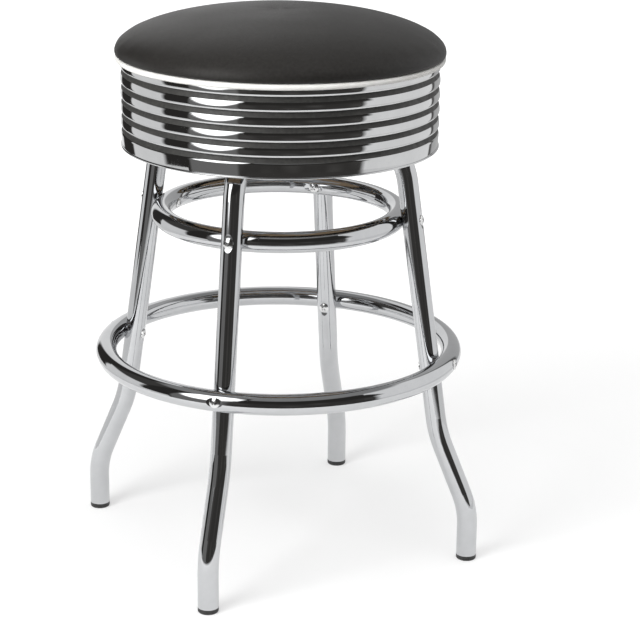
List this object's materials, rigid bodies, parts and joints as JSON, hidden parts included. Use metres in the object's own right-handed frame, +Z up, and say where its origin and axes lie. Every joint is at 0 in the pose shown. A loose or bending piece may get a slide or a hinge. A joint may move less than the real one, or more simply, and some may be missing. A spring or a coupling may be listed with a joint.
{
  "type": "diner counter stool",
  "caption": "Backless round counter stool with a padded swivelling seat, a ribbed metal band, bent tube legs and two tube rings.",
  "frame": {"origin": "on the floor, under the middle of the seat, at the foot of its turning axis", "axes": "+Z up along the seat's turning axis; one leg stands on each of +X, +Y, -X and -Y"},
  "size_m": [0.5314, 0.5314, 0.685],
  "materials": {
    "chrome_tube": "polished chrome plate on steel tube",
    "bright_screws": "bright plated steel",
    "zinc_steel": "zinc plated steel",
    "ball_steel": "polished bearing steel",
    "black_plastic": "moulded black plastic",
    "plywood": "raw birch plywood",
    "foam": "open cell foam",
    "black_vinyl": "fine grained black vinyl",
    "white_vinyl": "off-white vinyl welt",
    "band_chrome": "bright band with matt black grooves"
  },
  "bodies": {
    "root": {"leg_frame_side": "chrome_tube", "leg_frame_front": "chrome_tube", "foot_ring": "chrome_tube", "upper_ring": "chrome_tube", "glide_right": "black_plastic", "glide_back": "black_plastic", "glide_left": "black_plastic", "glide_front": "black_plastic", "foot_ring_bolts": "bright_screws", "foot_ring_sleeve_nuts": "bright_screws", "upper_ring_bolts": "bright_screws", "upper_ring_sleeve_nuts": "bright_screws", "crossing_screw": "zinc_steel", "crossing_nut": "zinc_steel", "swivel_base_plate": "zinc_steel", "base_plate_screws": "zinc_steel", "base_plate_nuts": "zinc_steel", "swivel_rivet": "zinc_steel"},
    "bearing": {"bearing_cage": "zinc_steel", "bearing_balls": "ball_steel"},
    "seat": {"swivel_top_plate": "zinc_steel", "seat_board_screws": "zinc_steel", "tee_nuts": "zinc_steel", "seat_board": "plywood", "foam_pad": "foam", "top_panel": "black_vinyl", "piping": "white_vinyl", "side_panel": "black_vinyl", "staples": "zinc_steel", "ribbed_band": "band_chrome", "band_pins": "zinc_steel"}
  },
  "joints": [
    {"name": "seat_swivel", "type": "hinge", "parent": "root", "child": "seat", "pos_m": [0, 0, 0.5], "axis": [0, 0, 1], "continuous": true},
    {"name": "bearing_spin", "type": "hinge", "parent": "root", "child": "bearing", "pos_m": [0, 0, 0.5], "axis": [0, 0, 1], "continuous": true}
  ],
  "couplings": [
    {"joint": "bearing_spin", "follows": "seat_swivel", "ratio": 0.5}
  ]
}
